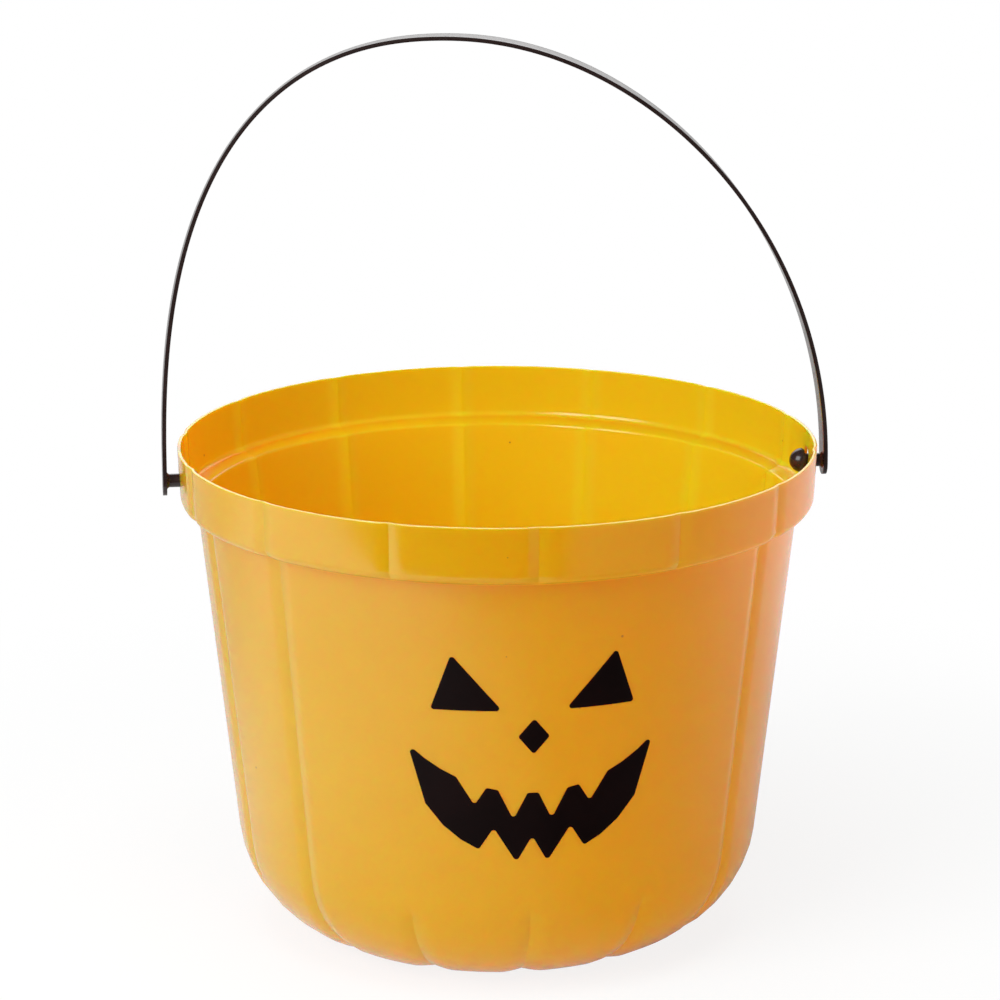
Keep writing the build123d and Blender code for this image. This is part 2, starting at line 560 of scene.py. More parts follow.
PAIL_PLASTIC = MouldedFinish(
    name="orange_pail_plastic", slot="pail_plastic",
    colour=(0.92, 0.357, 0.004), cloud=(0.90, 0.347, 0.004), speck=(0.55, 0.20, 0.02),
    # Painted light inside: a yellower lit copy of the plastic, a painted highlight beside the ridges and
    # painted shade on the ledge.
    inside=(0.945, 0.455, 0.008), flank_highlight=(0.945, 0.472, 0.013), ledge_shade=(0.88, 0.30, 0.004),
    cloud_size=0.03, smoothest=0.13, roughest=0.19, ripple=0.00004,
    speck_spacing=0.011, speck_share=0.035, speck_kept=0.35,
    translucence=1.0, glow_depth=(1.0, 0.14, 0.03), glow_scale=0.022,
)
HANDLE_PLASTIC = MouldedFinish(
    name="black_strap_plastic", slot="handle_plastic",
    colour=(0.020, 0.011, 0.010), cloud=(0.026, 0.015, 0.014), speck=(0.06, 0.05, 0.05),
    cloud_size=0.012, smoothest=0.18, roughest=0.28, ripple=0.00002,
    speck_spacing=0.006, speck_share=0.03, speck_kept=0.3,
)
FACE_INK = MouldedFinish(
    name="black_face_ink", slot="face_ink",
    colour=(0.0040, 0.0012, 0.0012), cloud=(0.0065, 0.0018, 0.0018), speck=(0.05, 0.02, 0.01),
    cloud_size=0.02, smoothest=0.16, roughest=0.24, ripple=0.00003,
    speck_spacing=0.010, speck_share=0.02, speck_kept=0.2, refraction=1.16,
)


@dataclass
class CreaseShape:
    """How deep and wide a crease is pressed at one row of the pail's section."""

    depth: float
    half_width: float


@dataclass
class Pail:
    """The moulded pail: stepped rim band, creased lobes, smooth face panel and rounded corner."""

    rim_radius: float
    height: float
    wall: float = 1.0 * MM
    lip_round: float = 0.22 * MM
    band_height: float = 17.0 * MM
    band_draft: float = 2.6
    band_edge_round: float = 3.0 * MM
    band_bow: float = 0.05 * MM
    shoulder_step: float = 4.72 * MM
    shoulder_round: float = 0.8 * MM
    under_fall: float = 1.2 * MM
    ledge_rise: float = 0.38 * MM
    ledge_round: float = 2.2 * MM
    nosing_round: float = 1.1 * MM
    ledge_fall: float = 1.8 * MM
    body_draft: float = 6.2
    corner_round: float = 35.0 * MM
    stand_ring_width: float = 4.5 * MM
    recess_depth: float = 1.3 * MM
    gate_radius: float = 2.2 * MM
    gate_height: float = 0.6 * MM
    crease_count: int = 14
    body_crease_depth: float = 0.95 * MM
    band_crease_depth: float = 0.7 * MM
    crease_power: float = 1.5
    ridge_height_share: float = 0.7
    body_crease_half: float = 4.4 * MM
    band_crease_half: float = 4.2 * MM
    foot_crease_half: float = 6.5 * MM
    foot_crease_gain: float = 0.2
    crease_slack: float = 1e-9
    # How strongly and how narrowly painted shade darkens the inner ledge.
    ledge_shade_gain: float = 1.6
    ledge_shade_falloff: float = 2.4
    panel_base: float = 28.0 * MM
    panel_reach: float = 40.0
    panel_step: float = 0.12 * MM
    panel_fade: float = 1.2 * MM
    panel_side_ratio: float = 1.555
    panel_side_fade: float = 0.02
    hole_radius: float = 3.2 * MM
    hole_height: float = 141.1 * MM
    hole_steps: int = 48
    drill_length: float = 8.0 * MM
    columns_per_lobe: int = 32
    column_crowding: float = 0.75
    longest_row: float = 4.0 * MM

    @property
    def shoulder_height(self) -> float:
        """Height of the step under the band."""
        return self.height - self.band_height

    def band_radius(self, height: float, inset: float = 0.0) -> float:
        """Radius of the band's skin at a height, moved in by an inset."""
        slope = math.radians(self.band_draft)
        return self.rim_radius - inset / math.cos(slope) - (self.height - height) * math.tan(slope)

    def body_radius(self, height: float, inset: float = 0.0) -> float:
        """Radius of the body's skin at a height, moved in by an inset.

        Args:
            height: The height on the pail.
            inset: How far the skin lies in from the outside.

        Returns:
            The radius.
        """
        slope = math.radians(self.body_draft)
        top = self.band_radius(self.shoulder_height) - self.shoulder_step
        return top - inset / math.cos(slope) - (self.shoulder_height - height) * math.tan(slope)

    @property
    def base_radius(self) -> float:
        """Radius at which the corner's arc touches the base."""
        corner = math.radians(90 + self.body_draft)
        return self.body_radius(0) - self.corner_round / math.tan(corner / 2)

    def skin(self, inset: float) -> list[Point]:
        """Half section of one skin of the wall, from the axis out and up to the lip.

        Args:
            inset: How far the skin lies in from the outside.

        Returns:
            Radius and height of each row.
        """
        recess = self.base_radius - self.stand_ring_width
        outside = inset == 0
        ledge = self.shoulder_height + (0 if outside else self.ledge_rise)
        gate = self.gate_height if outside else 0
        fall = (self.under_fall if outside else self.ledge_fall) / 2
        floor = self.recess_depth + inset
        # The recess has a slope of 45 degrees, whose corners move this far along when it is set in.
        slope = inset * math.tan(QUARTER_TURN / 4)
        corners = [
            (0, floor - gate),
            (self.gate_radius - gate, floor - gate),
            (self.gate_radius, floor),
            (recess - self.recess_depth + slope, floor),
            (recess + slope, inset),
            (self.body_radius(inset, inset), inset),
            (self.body_radius(ledge - fall, inset), ledge - fall),
            (self.band_radius(ledge + fall, inset), ledge + fall),
            (self.band_radius(self.height - self.lip_round, inset), self.height - self.lip_round),
        ]
        under_band = self.shoulder_round if outside else self.nosing_round
        band_corner = self.band_edge_round if outside else self.ledge_round
        hollow = self.recess_depth / 2
        radii = [0, gate / 3, 0, hollow, hollow, self.corner_round - inset, under_band, band_corner, 0]
        rows = divided(rounded_line(corners, radii, arc_steps=10), self.longest_row)
        return [(radius + self.band_swell(height), height) for radius, height in rows]

    def band_swell(self, height: float) -> float:
        """How far the band's skin bows out at a height."""
        middle = self.height - self.band_height / 2
        return self.band_bow * max(0.0, 1 - ((height - middle) / (self.band_height / 2)) ** 2)

    def lip(self) -> list[Point]:
        """Rounded top of the wall, from the outside over to the inside.

        Returns:
            Radius and height of each row.
        """
        outer = self.band_radius(self.height)
        inner = self.band_radius(self.height, self.wall)
        foot = self.height - self.lip_round
        corners = [(outer, foot), (outer, self.height), (inner, self.height), (inner, foot)]
        return rounded_line(corners, [0, self.lip_round, self.lip_round, 0], arc_steps=5)[1:-1]

    def crease_shape(self, height: float) -> CreaseShape:
        """Depth and half width of a crease at a height.

        Args:
            height: The height on the pail.

        Returns:
            The crease's shape there.
        """
        if height > self.shoulder_height + 2 * self.wall:
            return CreaseShape(self.band_crease_depth, self.band_crease_half)
        low = min(1.0, max(0.0, 1 - height / self.corner_round))
        half = self.body_crease_half + (self.foot_crease_half - self.body_crease_half) * low**2
        return CreaseShape(self.body_crease_depth * (1 + self.foot_crease_gain * low), half)

    def spread_columns(self, angle: np.ndarray) -> np.ndarray:
        """Draws the columns of faces together near the creases.

        Args:
            angle: Angles of the vertices round the axis.

        Returns:
            The new angles.
        """
        pitch = math.tau / self.crease_count
        crease = np.round(angle / pitch)
        off = 2 * (angle / pitch - crease)
        crowded = (1 - self.column_crowding) * off + self.column_crowding * off**3
        return (crease + crowded / 2) * pitch

    def below_panel(self, height: np.ndarray) -> np.ndarray:
        """Mask of what lies below the smooth face panel, by height."""
        return np.clip((self.panel_base - height) / self.panel_fade + 0.5, 0, 1)

    def creased_share(self, crease: np.ndarray, radius: np.ndarray, height: np.ndarray) -> np.ndarray:
        """How much of its crease each vertex takes, which is nothing on the face panel and on the floor.

        Args:
            crease: Angle of the nearest crease for each vertex.
            radius: Distance of each vertex from the axis.
            height: Height of each vertex's row.

        Returns:
            A share from 0 to 1 for each vertex.
        """
        recess = self.base_radius - self.stand_ring_width
        off_floor = np.clip((radius - recess) / self.stand_ring_width, 0, 1)
        on_panel = np.abs(crease) < math.radians(self.panel_reach)
        in_band = np.clip((height - self.shoulder_height) / self.wall, 0, 1)
        return np.where(on_panel, np.maximum(self.below_panel(height), in_band), 1) * off_floor

    def painted_flank_and_ledge_light(self, nearness: np.ndarray, creased: np.ndarray, height: np.ndarray) -> np.ndarray:
        """Painted light inside the pail: a painted highlight beside the creases and painted shade along
        the ledge.

        Args:
            nearness: 1 on a crease and 0 away from it, for each vertex.
            creased: How much of its crease each vertex takes.
            height: Height of each vertex's row.

        Returns:
            A value from -1, full painted shade, to 1, full painted highlight, for each vertex.
        """
        ledge = (height - self.shoulder_height - self.ledge_rise) / self.ledge_fall
        painted_shade_share = np.clip(self.ledge_shade_gain - self.ledge_shade_falloff * np.abs(ledge), 0, 1)
        return np.where(painted_shade_share > 0, -painted_shade_share, 4 * nearness * (1 - nearness) * creased)

    def panel_press(self, angle: np.ndarray, height: np.ndarray) -> np.ndarray:
        """How far the wall steps in below the face panel.

        Args:
            angle: Angle of each vertex round the axis, from the front.
            height: Height of each vertex's row.

        Returns:
            A depth for each vertex.
        """
        side = math.radians(2 * self.panel_reach) / self.panel_side_ratio
        panel = np.clip((side - np.abs(angle)) / self.panel_side_fade, 0, 1)
        foot = np.clip(height / (self.panel_base / 2), 0, 1)
        return self.panel_step * panel * self.below_panel(height) * foot

    def press_creases(self, piece: bpy.types.Object, rows: list[Point], first_inner: int) -> None:
        """Presses the creases into the spun form, apart from the smooth face panel.

        Args:
            piece: The spun pail.
            rows: Radius and height of each row of the section.
            first_inner: Number of the first row that lies inside the pail.
        """
        points = read_points(piece)
        radius = np.hypot(points[:, 0], points[:, 1])
        angle = self.spread_columns(np.arctan2(points[:, 0], -points[:, 1]))
        nearest = nearest_rows(points, rows)
        inside = nearest >= first_inner
        height = np.array(rows)[nearest, 1]
        pitch = math.tau / self.crease_count
        crease = np.round(angle / pitch) * pitch
        shapes = [self.crease_shape(z) for _, z in rows]
        depth = np.array([shape.depth for shape in shapes])[nearest]
        half = np.array([shape.half_width for shape in shapes])[nearest]
        half = np.minimum(half, radius * pitch / 2 + self.crease_slack)
        nearness = np.clip(1 - np.abs(angle - crease) * radius / half, 0, 1)
        creased = self.creased_share(crease, radius, height)
        write_attribute(piece, INSIDE, inside)
        # Painted light for the inner skin: a painted highlight beside the ridges and painted shade on the
        # ledge.
        write_attribute(piece, PAINTED_LIGHT, self.painted_flank_and_ledge_light(nearness, creased, height) * inside)
        press = depth * nearness**self.crease_power * np.where(inside, self.ridge_height_share, 1)
        press = press * creased + self.panel_press(angle, height)
        way = np.array(self.row_normals(rows))[nearest]
        radius = radius - press * way[:, 0]
        points[:, 0] = radius * np.sin(angle)
        points[:, 1] = -radius * np.cos(angle)
        points[:, 2] -= press * way[:, 1]
        write_points(piece, points)

    def row_normals(self, rows: list[Point]) -> list[Point]:
        """Outward direction at each row: level on the walls, and square to the rounded corner below.

        Args:
            rows: Radius and height of each row of the section.

        Returns:
            The direction at each row, as radius and height.
        """
        middle = Vector((self.base_radius, self.corner_round))
        normals = []
        for row in rows:
            spoke = Vector(row) - middle
            if row[1] >= self.corner_round or spoke.x < 0:
                normals.append((1.0, 0.0) if row[1] >= self.corner_round else (0.0, -1.0))
            else:
                normals.append(tuple(spoke.normalized()))
        return normals

    def drill_holes(self, piece: bpy.types.Object) -> None:
        """Cuts the handle's hole through the band on each side.

        Args:
            piece: The pressed pail.
        """
        for side in Side:
            deselect_all()
            bpy.ops.mesh.primitive_cylinder_add(
                vertices=self.hole_steps,
                radius=self.hole_radius,
                depth=self.drill_length,
                location=(side.value * self.rim_radius, 0, self.hole_height),
                rotation=(0, QUARTER_TURN, 0),
            )
            combine(piece, bpy.context.object, "DIFFERENCE")

    def build(self) -> bpy.types.Object:
        """Models the pail.

        Returns:
            The finished piece.
        """
        inner = self.skin(self.wall)
        lip = self.lip()
        rows = [*self.skin(0), *lip, *reversed(inner)]
        first_inner = len(rows) - len(inner) - len(lip) // 2
        line = [Vector((0, -radius, height)) for radius, height in rows]
        pail = extruded_chain("pail_shell", line)
        bpy.ops.object.mode_set(mode="OBJECT")
        steps = self.crease_count * self.columns_per_lobe
        apply_modifier(pail, "SCREW", axis="Z", angle=math.tau, steps=steps, render_steps=steps,
                       use_merge_vertices=True, merge_threshold=MERGE_GAP)
        tidy_surface(pail)
        self.press_creases(pail, rows, first_inner)
        self.drill_holes(pail)
        smooth_faces(pail, SHARP_EDGE)
        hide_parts("pail_body")
        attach(pail, Body.PAIL.value)
        PAIL_PLASTIC.dress(pail)
        return pail


@dataclass
class Handle:
    """The strap handle, with a snap stud at each end, in one moulding."""

    pivot: float
    half_span: float
    rise: float = 130.1 * MM
    sway: float = 17.5 * MM
    sway_power: float = 1.75
    squareness: float = 2.13
    twist: float = 8.5
    lean: float = 1.5
    width: float = 7.5 * MM
    thickness: float = 1.2 * MM
    edge_round: float = 0.28 * MM
    edge_segments: int = 3
    edge_angle: float = 50.0
    merge_gap: float = 0.01 * MM
    sharp_edge: float = 45.0
    tab_reach: float = 0.65 * MM
    stud_radius: float = 2.0 * MM
    stud_steps: int = 40
    root_round: float = 0.6 * MM
    neck_round: float = 0.2 * MM
    head_radius: float = 3.75 * MM
    head_length: float = 4.3 * MM
    head_edge: float = 0.3 * MM
    head_back: float = 92.85 * MM
    head_steps: int = 14
    stations: int = 180
    end_rows: int = 10
    across: int = 4

    def centre(self, share: float) -> Vector:
        """Point of the strap's centre line.

        Args:
            share: 0 at the right stud, 1 at the left one.

        Returns:
            The point.
        """
        turn = math.pi * share
        along = math.copysign(abs(math.cos(turn)) ** (2 / self.squareness), math.cos(turn))
        rise = max(math.sin(turn), 0.0) ** (2 / self.squareness)
        x = self.half_span * along - self.sway * rise**self.sway_power
        return Vector((x, 0, self.pivot + self.rise * rise))

    def rows(self) -> list[tuple[Vector, float]]:
        """Lists the rows across the strap, from its right end to its left end.

        Returns:
            Middle and half width of each row.
        """
        radius = self.width / 2
        end = []
        for step in range(self.end_rows + 1):
            turn = QUARTER_TURN * step / self.end_rows
            drop = self.tab_reach + radius * math.cos(turn)
            end.append((Vector((self.half_span, 0, self.pivot - drop)), radius * math.sin(turn)))
        shares = [step / self.stations for step in range(self.stations + 1)]
        arch = [(self.centre(share), radius) for share in shares]
        far = [(Vector((-middle.x, 0, middle.z)), half) for middle, half in reversed(end)]
        return [*end, *arch, *far]

    def strap(self) -> bpy.types.Object:
        """Models the strap alone: a grid laid along the arch, thickened and with its edges rounded.

        Returns:
            The strap.
        """
        rows = self.rows()
        deselect_all()
        bpy.ops.mesh.primitive_grid_add(x_subdivisions=len(rows) - 1, y_subdivisions=self.across, size=2)
        strap = bpy.context.object
        strap.name = "strap_handle"
        points = read_points(strap)
        row = np.round((points[:, 0] + 1) / 2 * (len(rows) - 1)).astype(int)
        middles = np.array([middle for middle, _ in rows])
        halves = np.array([half for _, half in rows])
        along = np.gradient(middles, axis=0)
        outward = np.stack([along[:, 2], np.zeros(len(rows)), -along[:, 0]], axis=1)
        outward /= np.linalg.norm(outward, axis=1, keepdims=True)
        share = np.clip((np.arange(len(rows)) - self.end_rows - 1) / self.stations, 0, 1)
        rise = np.sin(math.pi * share) ** 2
        turn = np.radians(self.twist * np.sin(math.tau * share) * rise - self.lean * rise)
        reach = points[:, 1] * halves[row]
        laid = middles[row] + (reach * np.sin(turn)[row])[:, None] * outward[row]
        laid[:, 1] = reach * np.cos(turn)[row]
        write_points(strap, laid)
        tidy_surface(strap, self.merge_gap)
        apply_modifier(strap, "SOLIDIFY", thickness=self.thickness, offset=0.0, use_even_offset=True)
        apply_modifier(strap, "BEVEL", width=self.edge_round, segments=self.edge_segments,
                       limit_method="ANGLE", angle_limit=math.radians(self.edge_angle))
        return strap

    def stud(self, side: Side) -> bpy.types.Object:
        """Models one snap stud: a shank that flares into the strap, and a bullet head inside the pail.

        Args:
            side: The side of the pail that it is on.

        Returns:
            The stud.
        """
        inner_face = self.half_span - self.thickness / 2
        root_radius = self.stud_radius + self.root_round
        corners = [
            (self.half_span, 0),
            (self.half_span, root_radius),
            (inner_face, root_radius),
            (inner_face - self.root_round, self.stud_radius),
            (self.head_back, self.stud_radius),
            (self.head_back, self.head_radius),
        ]
        line = rounded_line(corners, [0, 0, 0, self.root_round, self.neck_round, 0], arc_steps=5)[:-1]
        line.append((self.head_back, self.head_radius - self.head_edge))
        shoulder = self.head_back - self.head_edge / 2
        dome = self.head_length - self.head_edge / 2
        for step in range(1, self.head_steps):
            turn = QUARTER_TURN * step / self.head_steps
            line.append((shoulder - dome * math.sin(turn), self.head_radius * math.cos(turn)))
        line.append((shoulder - dome, 0.0))
        points = [Vector((side.value * x, 0, self.pivot + r)) for x, r in line]
        centre = Vector((0, 0, self.pivot))
        return spun(f"stud_{side.name.lower()}", points, Vector((1, 0, 0)), centre, self.stud_steps)

    def build(self) -> bpy.types.Object:
        """Models the handle.

        Returns:
            The finished piece.
        """
        handle = self.strap()
        for side in Side:
            combine(handle, self.stud(side), "UNION")
        smooth_faces(handle, self.sharp_edge)
        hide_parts("handle")
        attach(handle, Body.HANDLE.value)
        HANDLE_PLASTIC.dress(handle)
        return handle


@dataclass
class FacePrints:
    """The printed face: three-cornered eyes, a diamond nose and a grin with pointed teeth."""

    pail: Pail
    hang_height: float = 133.0 * MM
    film: float = 0.06 * MM
    lift: float = 0.03 * MM
    grid: float = 1.6 * MM
    spot_gap: float = 1e-7
    fill_inside: int = 1
    corner_round: float = 0.8 * MM
    eye_width: float = 20.0 * MM
    eye_height: float = 17.0 * MM
    eye_lean: float = 4.5 * MM
    eye_spacing: float = 38.0 * MM
    eye_drop: float = 40.0 * MM
    nose_width: float = 9.0 * MM
    nose_height: float = 11.0 * MM
    nose_drop: float = 48.0 * MM
    mouth_width: float = 70.0 * MM
    mouth_corner_drop: float = 51.5 * MM
    mouth_top_sag: float = 14.0 * MM
    mouth_bottom_sag: float = 35.0 * MM
    tooth_count: int = 4
    tooth_pitch: float = 11.0 * MM
    tooth_width: float = 8.2 * MM
    top_tooth_share: float = 0.42
    bottom_tooth_share: float = 0.36
    lip_run: float = 4.5 * MM
    foot_passes: int = 8

    def eye(self, side: Side) -> list[Point]:
        """Corners of one eye.

        Args:
            side: The side of the face that it is on.

        Returns:
            The corners seen from the front.
        """
        middle = side.value * self.eye_spacing / 2
        low = self.hang_height - self.eye_drop
        half = side.value * self.eye_width / 2
        tip = (middle + side.value * self.eye_lean, low + self.eye_height)
        return [(middle - half, low), (middle + half, low), tip]

    def nose(self) -> list[Point]:
        """Corners of the nose.

        Returns:
            The corners seen from the front.
        """
        middle = self.hang_height - self.nose_drop
        wide = self.nose_width / 2
        high = self.nose_height / 2
        return [(-wide, middle), (0, middle - high), (wide, middle), (0, middle + high)]

    def lip_height(self, sag: float, x: float) -> float:
        """Height of a round lip that hangs between the mouth's corners.

        Args:
            sag: How far the lip hangs below the corners.
            x: The place across the face.

        Returns:
            The height.
        """
        half = self.mouth_width / 2
        radius = (half**2 + sag**2) / (2 * sag)
        return self.hang_height - self.mouth_corner_drop - sag + radius - math.sqrt(radius**2 - x**2)

    def lip(self, sag: float, tip_sag: float, teeth: int) -> list[Point]:
        """One toothed lip of the mouth.

        Args:
            sag: How far the lip hangs below the mouth's corners.
            tip_sag: How far the line of the tooth tips hangs.
            teeth: How many teeth stand on the lip.

        Returns:
            The lip's points from left to right, without the mouth's corners.
        """
        corner = self.hang_height - self.mouth_corner_drop
        points: list[Point] = []
        for step in range(teeth):
            x = (step - (teeth - 1) / 2) * self.tooth_pitch
            bow = 1 - (2 * x / self.mouth_width) ** 2
            tip = corner - tip_sag * bow
            slope = (corner - sag * bow - tip) / (self.tooth_width / 2)
            for way in (-1, 1):
                foot = x + way * self.tooth_width / 2
                for _ in range(self.foot_passes):
                    foot = x + way * (self.lip_height(sag, foot) - tip) / slope
                points.append((foot, self.lip_height(sag, foot)))
            points.insert(-1, (x, tip))
        end = points[-1][0]
        runs = max(2, round((self.mouth_width / 2 - end) / self.lip_run))
        outer = [end + (self.mouth_width / 2 - end) * step / runs for step in range(1, runs)]
        right = [(x, self.lip_height(sag, x)) for x in outer]
        left = [(-x, height) for x, height in reversed(right)]
        return [*left, *points, *right]

    def mouth(self) -> list[Point]:
        """Corners of the mouth.

        Returns:
            The corners seen from the front.
        """
        corner = self.hang_height - self.mouth_corner_drop
        opening = self.mouth_bottom_sag - self.mouth_top_sag
        top_tips = self.mouth_top_sag + self.top_tooth_share * opening
        bottom_tips = self.mouth_bottom_sag - self.bottom_tooth_share * opening
        top = self.lip(self.mouth_top_sag, top_tips, self.tooth_count)
        bottom = self.lip(self.mouth_bottom_sag, bottom_tips, self.tooth_count - 1)
        half = self.mouth_width / 2
        return [(-half, corner), *top, (half, corner), *reversed(bottom)]

    def filled(self, corners: list[Point]) -> tuple[list[Vector], list[list[int]]]:
        """Fills an outline with small faces.

        Args:
            corners: The outline's corners seen from the front.

        Returns:
            The spots of the net seen from the front, and its faces.
        """
        radii = [self.corner_round] * len(corners)
        outline = rounded_line(corners, radii, arc_steps=6, closed=True)
        outline = divided([*outline, outline[0]], self.grid)[:-1]
        low = np.min(outline, axis=0)
        high = np.max(outline, axis=0)
        inside = [
            Vector((x, z))
            for x in np.arange(low[0] + self.grid / 2, high[0], self.grid)
            for z in np.arange(low[1] + self.grid / 2, high[1], self.grid)
        ]
        spots = [*map(Vector, outline), *inside]
        ring = list(range(len(outline)))
        flat, _, faces, *_ = delaunay_2d_cdt(spots, [], [ring], self.fill_inside, self.spot_gap)
        return flat, faces

    def patch(self, name: str, node: str, corners: list[Point]) -> bpy.types.Object:
        """Lays one ink patch on the panel.

        Args:
            name: The new piece's name.
            node: The CAD node that it stands for.
            corners: The patch's outline seen from the front.

        Returns:
            The finished piece.
        """
        flat, faces = self.filled(corners)
        mesh = bpy.data.meshes.new(name)
        mesh.from_pydata([self.on_panel(spot) for spot in flat], [], faces)
        patch = bpy.data.objects.new(name, mesh)
        bpy.context.scene.collection.objects.link(patch)
        make_active(patch)
        bpy.ops.object.mode_set(mode="EDIT")
        bpy.ops.mesh.select_all(action="SELECT")
        bpy.ops.mesh.delete_loose()
        bpy.ops.mesh.select_all(action="SELECT")
        bpy.ops.mesh.normals_make_consistent(inside=False)
        bpy.ops.object.mode_set(mode="OBJECT")
        if sum(face.normal.y for face in mesh.polygons) > 0:
            mesh.flip_normals()
        apply_modifier(patch, "SOLIDIFY", thickness=self.film, offset=1.0)
        smooth_faces(patch, SHARP_EDGE)
        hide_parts(node)
        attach(patch, Body.PAIL.value)
        FACE_INK.dress(patch)
        return patch

    def on_panel(self, spot: Vector) -> Vector:
        """The place on the panel, just off its skin, behind a spot seen from the front."""
        radius = self.pail.body_radius(spot.y, -self.lift)
        return Vector((spot.x, -math.sqrt(radius**2 - spot.x**2), spot.y))

    def build(self) -> list[bpy.types.Object]:
        """Prints the face.

        Returns:
            The four ink patches.
        """
        return [
            self.patch("ink_left_eye", "left_eye_print", self.eye(Side.LEFT)),
            self.patch("ink_right_eye", "right_eye_print", self.eye(Side.RIGHT)),
            self.patch("ink_nose", "nose_print", self.nose()),
            self.patch("ink_mouth", "mouth_print", self.mouth()),
        ]


@dataclass(frozen=True)
class Softbox:
    """A square soft lamp, aimed at the pail's middle."""

    name: str
    place: tuple[float, float, float]
    side: float
    watts: float
    colour: Colour = WHITE
    mirrored: bool = True

    def build(self, aim: Vector) -> None:
        """Hangs the lamp and turns it to a point.

        Args:
            aim: The point that it shines at.
        """
        lamp = bpy.data.lights.new(self.name, "AREA")
        lamp.shape = "SQUARE"
        lamp.size = self.side
        lamp.energy = self.watts
        lamp.color = self.colour
        hung = bpy.data.objects.new(self.name, lamp)
        hung.location = self.place
        hung.rotation_euler = (aim - hung.location).to_track_quat("-Z", "Y").to_euler()
        hung.visible_glossy = self.mirrored
        bpy.context.scene.collection.objects.link(hung)


COOL_WHITE: Colour = (0.96, 1.0, 1.0)
LAMPS = (
    Softbox("left_softbox", place=(-0.837, -0.703, 0.75), side=0.8, watts=12.2, colour=COOL_WHITE),
    Softbox("back_softbox", place=(0.2, 1.1, 0.6), side=1.0, watts=4.1, mirrored=False),
    Softbox(
        "top_softbox", place=(-0.15, -0.35, 1.25), side=0.8, watts=10.0, colour=COOL_WHITE, mirrored=False
    ),
)


